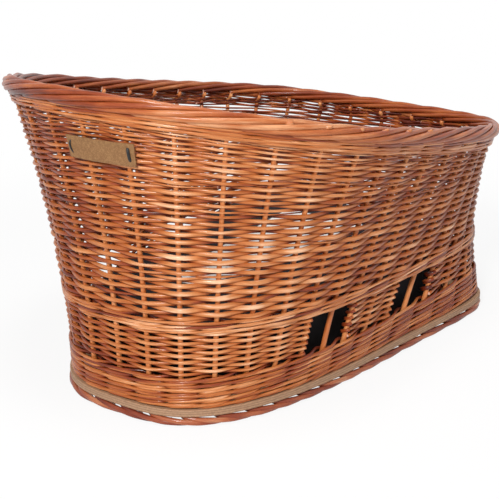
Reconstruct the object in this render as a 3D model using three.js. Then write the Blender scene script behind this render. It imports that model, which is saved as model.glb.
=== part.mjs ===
// A willow dog basket for a bicycle's rear carrier, in millimetres, +Z up.
// The origin is on the ground, under the middle of the basket.
// The plan is a U: a round, high end towards -X and a squared, low end towards +X.
// A plywood board carries a ring of stakes, one rod each. They pass through holes near the board's edge,
// end in the foot border under it, and rise through the woven courses to the rolled rim border.

import * as THREE from 'three';

// Rim, measured at the middle of the rolled border
const RIM_LENGTH = 500;
const RIM_WIDTH = 368;
const RIM_ROUND_DEPTH = 188;
const RIM_ROUND_POWER = 2.0;
const RIM_SQUARE_POWER = 4.0;
const RIM_HEIGHT_ROUND_END = 294;
const RIM_HEIGHT_MIDDLE = 237.5;
const RIM_HEIGHT_SQUARE_END = 192;

// Base board, whose edge shows as the tan band. The rim overhangs it all round.
const ROUND_END_OVERHANG = 34;
const SQUARE_END_OVERHANG = 17;
const SIDE_OVERHANG = 41;
const BOARD_LENGTH = RIM_LENGTH - ROUND_END_OVERHANG - SQUARE_END_OVERHANG;
const BOARD_WIDTH = RIM_WIDTH - 2 * SIDE_OVERHANG;
const BOARD_ROUND_DEPTH = 265;
const BOARD_TAPER = 0.15;
const BOARD_ROUND_POWER = 3.0;
const BOARD_SQUARE_POWER = 6.5;
const BOARD_THICKNESS = 6.5;

// Stakes
const STAKE_COUNT = 36;
const STAKE_RADIUS = 2.5;
const STAKE_CLEARANCE = 0.3;
const STAKE_SIDES = 6;
const STAKE_FOOT_INSET = 7;
// The stakes stand closer towards the squared end at the rim, and along the straight sides at the foot
const RIM_CROWDING = 0.007;
const FOOT_CROWDING = -0.051;
const FOOT_CROWDING_AT_ENDS = 0.014;

// How far the wall hollows inwards between the foot and the rim
const HOLLOW_DEPTH_ROUND_END = 9;
const HOLLOW_DEPTH_SIDES = 6;

// Courses of the wall, from the ground up
const FOOT_BORDER_HEIGHT = 9;
const FOOT_BORDER_WIDTH = 13;
const FOOT_BORDER_LOBE = 0.8;
const FOOT_BORDER_STRANDS = 3;
const FOOT_FLAT_CUT = 1.5;
const WINDOW_SILL_HEIGHT = 46.5;
const MID_WALE_HEIGHT = 82.5;
const MID_WALE_FALL = 0.031;
const MID_WALE_DEPTH = 11.5;
const TOP_WALE_DEPTH = 9;
const RIM_BORDER_RADIUS = 7.5;
const RIM_BORDER_LOBE = 0.8;
const RIM_BORDER_STRANDS = 6;
const COURSE_GAP = 0.3;
const RIM_BORDER_GAP = 0.5;
const RANDING_TOP_GAP = 0.5;

// Thickness of the courses, either side of the stakes' middle
const RANDING_HALF = 5.3;
const RANDING_WAIST_HALF = 2;
const WALE_HALF = 5.2;
const FOOT_WALE_HALF = 6.4;

// Strap windows: each is two stake spaces wide, with one bare stake in its middle
const WINDOW_JAMBS = [[7, 9], [11, 13]];
const JAMB_WRAP = 5.2;

// Label
const LABEL_LENGTH = 68;
const LABEL_HEIGHT = 20;
const LABEL_THICKNESS = 1.8;
const LABEL_BELOW_RIM = 43;
const LABEL_SHARE = 0.0125;
const LABEL_STANDOFF = 0.9;
const LABEL_STEPS = 8;

// Cushion
const CUSHION_INSET = 15.5;
const CUSHION_SQUARE_POWER = 4;
const CUSHION_SIDE_TOP = 84;
const CUSHION_CROWN = 9;
const CUSHION_EDGE_ROUND = 12;
const CUSHION_SIDE_DRAW = 2.5;
const CUSHION_STEPS = 48;

// How finely curves are drawn
const OUTLINE_SAMPLES = 1440;
const BORDER_STEPS_PER_STAKE = 3;
const BOARD_EDGE_STEPS = 108;
const RIM_BORDER_SIDES = 12;
const FOOT_BORDER_SIDES = 10;
const HOLE_STEPS = 4;
const EDGE_ROUND_STEPS = 3;
const CROWN_RINGS = [0.8, 0.55, 0.28];
const TANGENT_STEP = 1 / STAKE_COUNT / 8;

const WILLOW = { color: 0xb87245, roughness: 0.45, metalness: 0 };
const WILLOW_STAKE = { color: 0xa9653a, roughness: 0.5, metalness: 0 };
const WILLOW_BORDER = { color: 0xb36a3c, roughness: 0.42, metalness: 0 };
const PLYWOOD = { color: 0xb8906a, roughness: 0.6, metalness: 0 };
const LEATHER = { color: 0xa1744b, roughness: 0.8, metalness: 0 };
const CUSHION_CLOTH = { color: 0x1d1b1c, roughness: 0.95, metalness: 0 };

const TURN = Math.PI * 2;
const basket = new THREE.Group();

function addPiece(name, geometry, look) {
  const mesh = new THREE.Mesh(geometry, new THREE.MeshStandardMaterial(look));
  mesh.name = name;
  basket.add(mesh);
  return mesh;
}

// Outlines

function signedPower(value, power) {
  return Math.sign(value) * Math.pow(Math.abs(value), power);
}

// A plan outline that is round towards -X and squared towards +X. It starts at the round end's tip and
// runs by -Y. Points are kept with the length walked so far, so that shares of the way round can be found.
function planOutline(shape) {
  const points = [];
  for (let i = 0; i <= OUTLINE_SAMPLES; i++) {
    const angle = TURN * i / OUTLINE_SAMPLES;
    const along = -Math.cos(angle);
    const across = -Math.sin(angle);
    const onRound = along < 0;
    const depth = onRound ? shape.roundDepth : shape.length - shape.roundDepth;
    const power = onRound ? shape.roundPower : shape.squarePower;
    const reach = signedPower(along, 2 / power);
    const x = shape.roundTip + shape.roundDepth + depth * reach;
    const y = shape.width / 2 * (1 + shape.taper * reach) * signedPower(across, 2 / power);
    points.push(new THREE.Vector2(x, y));
  }
  const walked = [0];
  for (let i = 1; i < points.length; i++) {
    walked.push(walked[i - 1] + points[i].distanceTo(points[i - 1]));
  }
  return { points, walked, around: walked[walked.length - 1] };
}

function pointAt(outline, share) {
  const wanted = (share - Math.floor(share)) * outline.around;
  let low = 0;
  let high = outline.walked.length - 1;
  while (high - low > 1) {
    const middle = (low + high) >> 1;
    if (outline.walked[middle] <= wanted) low = middle;
    else high = middle;
  }
  const span = outline.walked[high] - outline.walked[low];
  const part = span > 0 ? (wanted - outline.walked[low]) / span : 0;
  return outline.points[low].clone().lerp(outline.points[high], part);
}

function alongAt(outline, share) {
  const before = pointAt(outline, share - TANGENT_STEP);
  return pointAt(outline, share + TANGENT_STEP).sub(before).normalize();
}

function outwardAt(outline, share) {
  const along = alongAt(outline, share);
  return new THREE.Vector2(along.y, -along.x);
}

const rimOutline = planOutline({
  roundTip: -RIM_LENGTH / 2,
  length: RIM_LENGTH,
  width: RIM_WIDTH,
  roundDepth: RIM_ROUND_DEPTH,
  roundPower: RIM_ROUND_POWER,
  squarePower: RIM_SQUARE_POWER,
  taper: 0
});

const boardOutline = planOutline({
  roundTip: -RIM_LENGTH / 2 + ROUND_END_OVERHANG,
  length: BOARD_LENGTH,
  width: BOARD_WIDTH,
  roundDepth: BOARD_ROUND_DEPTH,
  roundPower: BOARD_ROUND_POWER,
  squarePower: BOARD_SQUARE_POWER,
  taper: BOARD_TAPER
});

const cushionOutline = planOutline({
  roundTip: -RIM_LENGTH / 2 + ROUND_END_OVERHANG + CUSHION_INSET,
  length: BOARD_LENGTH - 2 * CUSHION_INSET,
  width: BOARD_WIDTH - 2 * CUSHION_INSET,
  roundDepth: BOARD_ROUND_DEPTH - CUSHION_INSET,
  roundPower: BOARD_ROUND_POWER,
  squarePower: CUSHION_SQUARE_POWER,
  taper: BOARD_TAPER
});

function footShare(share) {
  const crowding = FOOT_CROWDING * Math.sin(TURN * share);
  return share + crowding + FOOT_CROWDING_AT_ENDS * Math.sin(2 * TURN * share);
}

// Heights

const BOARD_UNDERSIDE = FOOT_BORDER_HEIGHT + COURSE_GAP;
const BOARD_TOP = BOARD_UNDERSIDE + BOARD_THICKNESS;
const WALL_FOOT = BOARD_TOP;

// The rim falls from the round end to the squared end in one smooth sweep
function rimHeight(share) {
  const place = pointAt(rimOutline, share).x / (RIM_LENGTH / 2);
  const slope = (RIM_HEIGHT_SQUARE_END - RIM_HEIGHT_ROUND_END) / 2;
  const lift = (RIM_HEIGHT_SQUARE_END + RIM_HEIGHT_ROUND_END) / 2 - RIM_HEIGHT_MIDDLE;
  return RIM_HEIGHT_MIDDLE + slope * place + lift * place * place;
}

function midWaleFoot(share) {
  return MID_WALE_HEIGHT - MID_WALE_FALL * pointAt(boardOutline, footShare(share)).x;
}

function midWaleTop(share) {
  return midWaleFoot(share) + MID_WALE_DEPTH;
}

function topWaleFoot(share) {
  return rimHeight(share) - RIM_BORDER_RADIUS - RIM_BORDER_GAP - TOP_WALE_DEPTH;
}

function topWaleTop(share) {
  return rimHeight(share) - RIM_BORDER_RADIUS - RIM_BORDER_GAP;
}

function level(height) {
  return () => height;
}

function raised(height, by) {
  return (share) => height(share) + by;
}

// The middle of the wall at a share of the way round and a height, moved outwards by offset
// and onwards, along the wall, by shift
function wallPoint(share, height, offset, shift = 0) {
  const rise = (height - WALL_FOOT) / (rimHeight(share) - WALL_FOOT);
  const foot = pointAt(boardOutline, footShare(share));
  foot.addScaledVector(outwardAt(boardOutline, footShare(share)), -STAKE_FOOT_INSET);
  const middle = foot.lerp(pointAt(rimOutline, share), rise);
  const roundness = Math.max(0, Math.cos(TURN * share));
  const hollow = HOLLOW_DEPTH_SIDES + (HOLLOW_DEPTH_ROUND_END - HOLLOW_DEPTH_SIDES) * roundness;
  const out = outwardAt(rimOutline, share);
  middle.addScaledVector(out, offset - hollow * 4 * rise * (1 - rise));
  middle.addScaledVector(alongAt(rimOutline, share), shift);
  return new THREE.Vector3(middle.x, middle.y, height);
}

// Closed meshes from rings of points

class MeshBuilder {
  constructor() {
    this.positions = [];
    this.faces = [];
  }

  point(p) {
    this.positions.push(p.x, p.y, p.z);
    return this.positions.length / 3 - 1;
  }

  triangle(a, b, c) {
    this.faces.push(a, b, c);
  }

  quad(a, b, c, d) {
    this.triangle(a, b, c);
    this.triangle(a, c, d);
  }

  geometry() {
    const geometry = new THREE.BufferGeometry();
    geometry.setAttribute('position', new THREE.Float32BufferAttribute(this.positions, 3));
    geometry.setIndex(this.faces);
    geometry.computeVertexNormals();
    return geometry;
  }
}

// Rings are counter-clockwise seen from the side that the last ring faces
function loft(rings, options = {}) {
  const builder = new MeshBuilder();
  const indexed = rings.map((ring) => ring.map((p) => builder.point(p)));
  const count = rings[0].length;
  const last = options.loop ? indexed.length : indexed.length - 1;
  for (let i = 0; i < last; i++) {
    const here = indexed[i];
    const next = indexed[(i + 1) % indexed.length];
    for (let j = 0; j < count; j++) {
      const k = (j + 1) % count;
      builder.quad(here[j], here[k], next[k], next[j]);
    }
  }
  if (!options.loop) {
    const first = indexed[0];
    const end = indexed[indexed.length - 1];
    for (let j = 1; j < count - 1; j++) {
      builder.triangle(first[0], first[j + 1], first[j]);
      builder.triangle(end[0], end[j], end[j + 1]);
    }
  }
  return builder.geometry();
}

// Woven courses

const STAKE_NUMBERS = Array.from({ length: STAKE_COUNT }, (_, i) => i + 1);
const CHANNEL_HALF = STAKE_RADIUS + STAKE_CLEARANCE;

// Stake 1 stands at the round end's tip, and a number and a half is midway to the next stake
function shareOfStake(number) {
  const even = (number - 1) / STAKE_COUNT;
  return even + RIM_CROWDING * Math.sin(TURN * even);
}

// The four points through the wall's thickness: outer face, the channel's two sides, inner face
function layers(half) {
  const channel = Math.min(CHANNEL_HALF, half / 2);
  return [half, channel, -channel, -half];
}

// A course of weaving as one closed shell with an open channel for each stake that it holds.
// It runs between two heights, all the way round or from one jamb stake to another. With a waist,
// the wall swells at each stake, where rods pass on both sides, and narrows where they cross over.
function wovenCourse({ foot, top, half, waist = null, steps = 1, jambs = null }) {
  const closed = jambs === null;
  const stations = closed ? beside(STAKE_NUMBERS, waist) : panelStations(jambs);
  const builder = new MeshBuilder();
  const grid = stations.map(({ share, shift, thin }) => {
    const column = [];
    for (let step = 0; step <= steps; step++) {
      const height = foot(share) + (top(share) - foot(share)) * step / steps;
      const through = layers(thin ? waist : half).map((offset) => wallPoint(share, height, offset, shift));
      column.push(through.map((p) => builder.point(p)));
    }
    return column;
  });
  const spans = closed ? stations.length : stations.length - 1;
  for (let i = 0; i < spans; i++) {
    const here = grid[i];
    const next = grid[(i + 1) % stations.length];
    addCourseFaces(builder, here, next, steps);
    addCourseCap(builder, here[0], next[0], stations[i].entersChannel, false);
    addCourseCap(builder, here[steps], next[steps], stations[i].entersChannel, true);
    if (stations[i].entersChannel) addChannel(builder, here, next, steps);
  }
  if (!closed) {
    addEndFace(builder, grid[0], steps, false);
    addEndFace(builder, grid[grid.length - 1], steps, true);
  }
  return builder.geometry();
}

// Each stake's channel has a station before it and one after it, and a waist has one midway to the next
function beside(numbers, waist = null) {
  return numbers.flatMap((number) => {
    const share = shareOfStake(number);
    const channel = [
      { share, shift: -CHANNEL_HALF, entersChannel: true },
      { share, shift: CHANNEL_HALF, entersChannel: false }
    ];
    const midway = { share: shareOfStake(number + 1 / 2), shift: 0, thin: true };
    return waist ? [...channel, midway] : channel;
  });
}

// A panel wraps round the jamb stake at each of its ends
function panelStations([first, last]) {
  const numbers = [];
  for (let number = first; number <= last; number++) {
    numbers.push(number);
  }
  const start = { share: shareOfStake(first), shift: -JAMB_WRAP, entersChannel: false };
  const end = { share: shareOfStake(last), shift: JAMB_WRAP, entersChannel: false };
  return [start, ...beside(numbers), end];
}

function addCourseFaces(builder, here, next, steps) {
  for (let step = 0; step < steps; step++) {
    const outer = 0;
    const inner = 3;
    builder.quad(here[step][outer], next[step][outer], next[step + 1][outer], here[step + 1][outer]);
    builder.quad(here[step][inner], here[step + 1][inner], next[step + 1][inner], next[step][inner]);
  }
}

function addCourseCap(builder, here, next, overChannel, facesUp) {
  for (let layer = 0; layer < 3; layer++) {
    if (overChannel && layer === 1) continue;
    if (facesUp) builder.quad(here[layer], next[layer], next[layer + 1], here[layer + 1]);
    else builder.quad(here[layer], here[layer + 1], next[layer + 1], next[layer]);
  }
}

function addChannel(builder, here, next, steps) {
  for (let step = 0; step < steps; step++) {
    const low = [here[step], next[step]];
    const high = [here[step + 1], next[step + 1]];
    builder.quad(low[0][1], high[0][1], high[1][1], low[1][1]);
    builder.quad(low[1][2], high[1][2], high[0][2], low[0][2]);
    builder.quad(low[0][2], high[0][2], high[0][1], low[0][1]);
    builder.quad(low[1][1], high[1][1], high[1][2], low[1][2]);
  }
}

function addEndFace(builder, column, steps, facesOnwards) {
  for (let step = 0; step < steps; step++) {
    for (let layer = 0; layer < 3; layer++) {
      const low = column[step];
      const high = column[step + 1];
      if (facesOnwards) builder.quad(low[layer], low[layer + 1], high[layer + 1], high[layer]);
      else builder.quad(low[layer], high[layer], high[layer + 1], low[layer + 1]);
    }
  }
}

addPiece('foot_wale', wovenCourse({
  foot: level(BOARD_TOP + COURSE_GAP),
  top: level(WINDOW_SILL_HEIGHT),
  half: FOOT_WALE_HALF
}), WILLOW);

// Between the sill and the mid wale the weaving is four separate panels, with a window at each gap
const sillTop = level(WINDOW_SILL_HEIGHT + COURSE_GAP);
const lintel = raised(midWaleFoot, -COURSE_GAP);

function lowerPanel(name, firstStake, lastStake) {
  addPiece(name, wovenCourse({
    foot: sillTop,
    top: lintel,
    half: RANDING_HALF,
    jambs: [firstStake, lastStake]
  }), WILLOW);
}

// A stake's twin across the basket counts back from stake 1
function twin(number) {
  return STAKE_COUNT + 2 - number;
}

const [[firstJamb, secondJamb], [thirdJamb, lastJamb]] = WINDOW_JAMBS;
lowerPanel('lower_panel_right', secondJamb, thirdJamb);
lowerPanel('lower_panel_square_end', lastJamb, twin(lastJamb));
lowerPanel('lower_panel_left', twin(thirdJamb), twin(secondJamb));
lowerPanel('lower_panel_round_end', twin(firstJamb), STAKE_COUNT + firstJamb);

addPiece('mid_wale', wovenCourse({ foot: midWaleFoot, top: midWaleTop, half: WALE_HALF }), WILLOW);

addPiece('upper_randing', wovenCourse({
  foot: raised(midWaleTop, COURSE_GAP),
  top: raised(topWaleFoot, -RANDING_TOP_GAP),
  half: RANDING_HALF,
  waist: RANDING_WAIST_HALF,
  steps: 3
}), WILLOW);

addPiece('top_wale', wovenCourse({ foot: topWaleFoot, top: topWaleTop, half: WALE_HALF }), WILLOW);

// Stakes. Each follows the same heights as the courses, so that it stays in the middle of its channels.

function stakeHeights(share) {
  const low = midWaleTop(share) + COURSE_GAP;
  const high = topWaleFoot(share) - RANDING_TOP_GAP;
  return [
    BOARD_UNDERSIDE,
    WALL_FOOT,
    WINDOW_SILL_HEIGHT,
    midWaleFoot(share),
    low,
    low + (high - low) / 3,
    low + (high - low) * 2 / 3,
    high,
    topWaleTop(share)
  ];
}

function stakeGeometry(share) {
  const rings = stakeHeights(share).map((height) => {
    const middle = wallPoint(share, Math.max(height, WALL_FOOT), 0);
    const ring = [];
    for (let j = 0; j < STAKE_SIDES; j++) {
      const angle = TURN * (j + 0.5) / STAKE_SIDES;
      const x = middle.x + STAKE_RADIUS * Math.cos(angle);
      const y = middle.y + STAKE_RADIUS * Math.sin(angle);
      ring.push(new THREE.Vector3(x, y, height));
    }
    return ring;
  });
  return loft(rings);
}

for (const number of STAKE_NUMBERS) {
  const name = `stake_${String(number).padStart(2, '0')}`;
  addPiece(name, stakeGeometry(shareOfStake(number)), WILLOW_STAKE);
}

// Base board, with a hole for each stake

function boardGeometry() {
  const edge = [];
  for (let i = 0; i < BOARD_EDGE_STEPS; i++) {
    edge.push(pointAt(boardOutline, i / BOARD_EDGE_STEPS));
  }
  const shape = new THREE.Shape(edge);
  for (const number of STAKE_NUMBERS) {
    const middle = wallPoint(shareOfStake(number), WALL_FOOT, 0);
    const hole = new THREE.Path();
    hole.absarc(middle.x, middle.y, CHANNEL_HALF, 0, TURN, true);
    shape.holes.push(hole);
  }
  const geometry = new THREE.ExtrudeGeometry(shape, {
    depth: BOARD_THICKNESS,
    bevelEnabled: false,
    curveSegments: HOLE_STEPS
  });
  return geometry.translate(0, 0, BOARD_UNDERSIDE);
}

addPiece('base_board', boardGeometry(), PLYWOOD);

// Borders. Each is a ring of rods laid over one another. Its section has a lobe for each rod and turns
// by one rod in each stake space. The rim's strokes rise as they go round and the foot's fall.

function ringGeometry(sectionAt) {
  const steps = STAKE_COUNT * BORDER_STEPS_PER_STAKE;
  const rings = [];
  for (let i = 0; i < steps; i++) {
    rings.push(sectionAt(i / steps));
  }
  return loft(rings, { loop: true });
}

function besideMiddle(middle, out, side, height) {
  return new THREE.Vector3(middle.x + out.x * side, middle.y + out.y * side, height);
}

// The corners of the rim's section turn with the rods, so each rod keeps its ridge
function rimSection(share) {
  const middle = wallPoint(share, rimHeight(share), 0);
  const turned = TURN * share * STAKE_COUNT / RIM_BORDER_STRANDS;
  const ring = [];
  for (let j = 0; j < RIM_BORDER_SIDES; j++) {
    const angle = turned - TURN * j / RIM_BORDER_SIDES;
    const onRidge = j % (RIM_BORDER_SIDES / RIM_BORDER_STRANDS) === 0;
    const radius = onRidge ? RIM_BORDER_RADIUS : RIM_BORDER_RADIUS - RIM_BORDER_LOBE;
    const height = middle.z + radius * Math.sin(angle);
    ring.push(besideMiddle(middle, outwardAt(rimOutline, share), radius * Math.cos(angle), height));
  }
  return ring;
}

// The foot's section keeps its corners in place and is cut flat where it rests on the carrier
function footSection(share) {
  const out = outwardAt(boardOutline, share);
  const middle = pointAt(boardOutline, share).addScaledVector(out, -FOOT_BORDER_WIDTH / 2);
  const middleHeight = (FOOT_BORDER_HEIGHT - FOOT_FLAT_CUT) / 2;
  const halfHeight = (FOOT_BORDER_HEIGHT + FOOT_FLAT_CUT) / 2;
  const turned = TURN * share * STAKE_COUNT / FOOT_BORDER_STRANDS;
  const ring = [];
  for (let j = 0; j < FOOT_BORDER_SIDES; j++) {
    const angle = -TURN * (j + 0.5) / FOOT_BORDER_SIDES;
    const dip = (1 - Math.cos(FOOT_BORDER_STRANDS * (angle + turned))) / 2;
    const size = 1 - FOOT_BORDER_LOBE / halfHeight * dip;
    const height = Math.max(0, middleHeight + halfHeight * size * Math.sin(angle));
    ring.push(besideMiddle(middle, out, FOOT_BORDER_WIDTH / 2 * size * Math.cos(angle), height));
  }
  return ring;
}

addPiece('rim_border', ringGeometry(rimSection), WILLOW_BORDER);
addPiece('foot_border', ringGeometry(footSection), WILLOW_BORDER);

// Label: a bent strip of leather lying on the outside of the wall

function labelGeometry() {
  const rings = [];
  const halfShare = LABEL_LENGTH / 2 / rimOutline.around;
  const near = RANDING_HALF + LABEL_STANDOFF;
  const far = near + LABEL_THICKNESS;
  const low = rimHeight(LABEL_SHARE) - LABEL_BELOW_RIM - LABEL_HEIGHT / 2;
  const high = low + LABEL_HEIGHT;
  for (let i = 0; i <= LABEL_STEPS; i++) {
    const share = LABEL_SHARE + halfShare * (2 * i / LABEL_STEPS - 1);
    rings.push([
      wallPoint(share, low, near),
      wallPoint(share, high, near),
      wallPoint(share, high, far),
      wallPoint(share, low, far)
    ]);
  }
  return loft(rings);
}

addPiece('label_patch', labelGeometry(), LEATHER);

// Cushion: a crowned pad whose sides draw in a little at their middle

function cushionProfile() {
  const bottom = BOARD_TOP + COURSE_GAP;
  const profile = [];
  for (let i = 0; i <= EDGE_ROUND_STEPS; i++) {
    const angle = Math.PI / 2 * i / EDGE_ROUND_STEPS;
    const inset = CUSHION_EDGE_ROUND * (1 - Math.sin(angle));
    profile.push({ inset, height: bottom + CUSHION_EDGE_ROUND * (1 - Math.cos(angle)) });
  }
  profile.push({ inset: CUSHION_SIDE_DRAW, height: (bottom + CUSHION_SIDE_TOP) / 2 });
  for (let i = 0; i <= EDGE_ROUND_STEPS; i++) {
    const angle = Math.PI / 2 * i / EDGE_ROUND_STEPS;
    const inset = CUSHION_EDGE_ROUND * (1 - Math.cos(angle));
    profile.push({ inset, height: CUSHION_SIDE_TOP - CUSHION_EDGE_ROUND * (1 - Math.sin(angle)) });
  }
  return profile;
}

function cushionRing(inset, height) {
  const ring = [];
  for (let i = 0; i < CUSHION_STEPS; i++) {
    const share = i / CUSHION_STEPS;
    const edge = pointAt(cushionOutline, share);
    edge.addScaledVector(outwardAt(cushionOutline, share), -inset);
    ring.push(new THREE.Vector3(edge.x, edge.y, height));
  }
  return ring;
}

// The crown rises from the rounded edge to the middle, on rings that shrink towards one point
function cushionGeometry() {
  const rings = cushionProfile().map(({ inset, height }) => cushionRing(inset, height));
  const edge = rings[rings.length - 1];
  const middle = new THREE.Vector3();
  edge.forEach((p) => middle.addScaledVector(p, 1 / edge.length));
  for (const part of CROWN_RINGS) {
    const height = CUSHION_SIDE_TOP + CUSHION_CROWN * (1 - part * part);
    rings.push(edge.map((p) => middle.clone().lerp(p, part).setZ(height)));
  }
  return loft(rings);
}

addPiece('cushion', cushionGeometry(), CUSHION_CLOTH);

export default basket;
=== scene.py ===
import math

import bmesh
import bpy
import numpy as np
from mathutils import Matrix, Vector
from mathutils.bvhtree import BVHTree
from mathutils.kdtree import KDTree


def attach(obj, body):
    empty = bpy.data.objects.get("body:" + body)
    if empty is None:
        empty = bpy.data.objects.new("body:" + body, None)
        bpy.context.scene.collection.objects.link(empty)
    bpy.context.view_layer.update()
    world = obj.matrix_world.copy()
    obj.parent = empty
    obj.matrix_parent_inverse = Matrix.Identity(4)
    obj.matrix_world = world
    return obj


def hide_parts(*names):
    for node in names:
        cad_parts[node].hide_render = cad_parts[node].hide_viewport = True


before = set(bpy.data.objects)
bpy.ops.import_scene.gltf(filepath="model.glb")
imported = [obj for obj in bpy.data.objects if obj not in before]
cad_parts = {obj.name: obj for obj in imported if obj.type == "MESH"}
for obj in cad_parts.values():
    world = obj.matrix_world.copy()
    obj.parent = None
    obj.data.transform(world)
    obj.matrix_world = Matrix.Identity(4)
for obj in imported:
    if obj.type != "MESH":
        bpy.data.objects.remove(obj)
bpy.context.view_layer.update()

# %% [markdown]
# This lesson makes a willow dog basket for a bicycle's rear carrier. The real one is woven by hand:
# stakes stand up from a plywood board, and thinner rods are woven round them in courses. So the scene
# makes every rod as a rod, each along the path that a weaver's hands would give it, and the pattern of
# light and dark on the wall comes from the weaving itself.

MM = 0.001
TURN = 2 * math.pi


def link_piece(name, data):
    piece = bpy.data.objects.new(name, data)
    bpy.context.collection.objects.link(piece)
    return piece


# %% [markdown]
# The camera stands where the photograph was taken from, low and off the corner of the round end. It
# comes first, because every later choice is judged through it.

# %% Camera
CAMERA_PLACE = (-0.9864, -0.6885, 0.5183)
CAMERA_HEADING = 0.956
CAMERA_TILT = 0.340
LENS_IN_IMAGE_WIDTHS = 1279.8 / 499
SENSOR_WIDTH = 36

camera_data = bpy.data.cameras.new("camera")
camera_data.sensor_width = SENSOR_WIDTH
camera_data.lens = SENSOR_WIDTH * LENS_IN_IMAGE_WIDTHS
camera = link_piece("camera", camera_data)
camera.location = CAMERA_PLACE
camera.rotation_euler = (math.pi / 2 - CAMERA_TILT, 0, -CAMERA_HEADING)
bpy.context.scene.camera = camera
print("lens in mm:", round(camera_data.lens, 1))

# %% [markdown]
# The basket has two outlines in plan, the rim's and the base board's. Both are round at one end and
# squared at the other. A superellipse gives this with few numbers: its power is 2 for an ellipse and
# grows as the corners get squarer. Each half of the outline has a power and a depth of its own.

# %% Outlines in plan
STAKES = 36
HALF_ROUND = STAKES // 2
RIM_LENGTH, RIM_WIDTH = 500, 368
RIM_ROUND_DEPTH, RIM_POWERS = 188, (2.0, 4.0)
ROUND_END_OVERHANG, SQUARE_END_OVERHANG, SIDE_OVERHANG = 34, 17, 41
BOARD_LENGTH = RIM_LENGTH - ROUND_END_OVERHANG - SQUARE_END_OVERHANG
BOARD_WIDTH = RIM_WIDTH - 2 * SIDE_OVERHANG
BOARD_TIP = -RIM_LENGTH / 2 + ROUND_END_OVERHANG
BOARD_ROUND_DEPTH, BOARD_POWERS, BOARD_TAPER = 265, (3.0, 6.5), 0.15


def signed_power(value, power):
    return np.sign(value) * np.abs(value) ** power


def plan_outline(tip, length, width, round_depth, powers, taper, samples=2880):
    """Points of an outline from the round end's tip, and the distance walked to each"""
    angle = np.linspace(0, TURN, samples + 1)
    along, across = -np.cos(angle), -np.sin(angle)
    on_round = along < 0
    depth = np.where(on_round, round_depth, length - round_depth)
    power = np.where(on_round, powers[0], powers[1])
    reach = signed_power(along, 2 / power)
    x = tip + round_depth + depth * reach
    y = width / 2 * (1 + taper * reach) * signed_power(across, 2 / power)
    points = np.stack([x, y], axis=1)
    walked = np.concatenate([[0], np.cumsum(np.linalg.norm(np.diff(points, axis=0), axis=1))])
    return points, walked


def point_at(outline, share):
    points, walked = outline
    wanted = np.mod(share, 1) * walked[-1]
    return np.stack([np.interp(wanted, walked, points[:, k]) for k in (0, 1)], axis=-1)


def outward_at(outline, share):
    step = 1 / STAKES / 8
    along = point_at(outline, share + step) - point_at(outline, share - step)
    along = along / np.linalg.norm(along, axis=-1, keepdims=True)
    return np.stack([along[..., 1], -along[..., 0]], axis=-1)


rim_line = plan_outline(-RIM_LENGTH / 2, RIM_LENGTH, RIM_WIDTH, RIM_ROUND_DEPTH, RIM_POWERS, 0)
board_line = plan_outline(BOARD_TIP, BOARD_LENGTH, BOARD_WIDTH, BOARD_ROUND_DEPTH, BOARD_POWERS,
                          BOARD_TAPER)
print("rim and board outlines, mm round:", round(rim_line[1][-1]), round(board_line[1][-1]))

# %% [markdown]
# The wall joins the two outlines. It leans out to the rim and hollows a little on the way, as rods do
# that are pulled tight round a curve. One function gives the middle of the wall anywhere, so every rod
# of every course can be laid by its share of the way round, its height and its distance outwards.

# %% The wall's middle surface
BOARD_UNDERSIDE, BOARD_TOP = 9.3, 15.8
STAKE_INSET = 7
RIM_MIDDLE, RIM_FALL, RIM_BEND = 237.5, 51, 5.5
FOOT_SHIFTS = (0.051, 0.014)
CROWDING = 0.007
WALL_HOLLOW, DEEPER_AT_ROUND_END = 6, 3
SILL = 46.5
MID_WALE_FOOT, MID_WALE_SLOPE, MID_WALE_HEIGHT = 82.5, 0.031, 11.5
TOP_WALE_DOWN = (17, 7)


def rim_height(share):
    place = point_at(rim_line, share)[..., 0] / (RIM_LENGTH / 2)
    return RIM_MIDDLE - RIM_FALL * place + RIM_BEND * place * place


def foot_share(share):
    """Where on the board's outline a stake stands that reaches the rim at this share"""
    return share - FOOT_SHIFTS[0] * np.sin(TURN * share) + FOOT_SHIFTS[1] * np.sin(2 * TURN * share)


def stake_share(place):
    """How far round the rim a stake stands; stakes crowd a little towards the squared end"""
    even = np.asarray(place, dtype=float) / STAKES
    return even + CROWDING * np.sin(TURN * even)


def wall_point(share, height, offset=0.0):
    share = np.asarray(share, dtype=float)
    height = np.broadcast_to(np.asarray(height, dtype=float), share.shape)
    rise = np.clip((height - BOARD_TOP) / (rim_height(share) - BOARD_TOP), 0, 1.05)
    foot_at = foot_share(share)
    foot = point_at(board_line, foot_at) - STAKE_INSET * outward_at(board_line, foot_at)
    middle = foot + (point_at(rim_line, share) - foot) * rise[..., None]
    hollow = WALL_HOLLOW + DEEPER_AT_ROUND_END * np.maximum(0, np.cos(TURN * share))
    push = offset - hollow * 4 * rise * (1 - rise)
    middle = middle + outward_at(rim_line, share) * np.asarray(push)[..., None]
    return np.concatenate([middle, height[..., None]], axis=-1)


def course_span(course, share):
    """Heights of a course's foot and top at this share of the way round"""
    middle = MID_WALE_FOOT - MID_WALE_SLOPE * point_at(board_line, foot_share(share))[..., 0]
    mid_top, rim = middle + MID_WALE_HEIGHT, rim_height(share)
    return {
        "foot_wale": (BOARD_TOP + 0.5, SILL - 0.8),
        "lower_panel": (SILL + 0.3, middle + 0.3),
        "mid_wale": (middle, mid_top),
        "upper_randing": (mid_top + 0.2, rim - TOP_WALE_DOWN[0] + 0.6),
        "top_wale": (rim - TOP_WALE_DOWN[0], rim - TOP_WALE_DOWN[1]),
    }[course]


print("rim heights, mm:", np.round(rim_height(np.array([0, 0.25, 0.5])), 1))

# %% [markdown]
# One small function adds a shader node with its settings and its links, and one turns hex colours into
# the linear values that a renderer needs. The others do what every material asks for: a sum, a noise,
# a colour and a bump.

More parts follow.
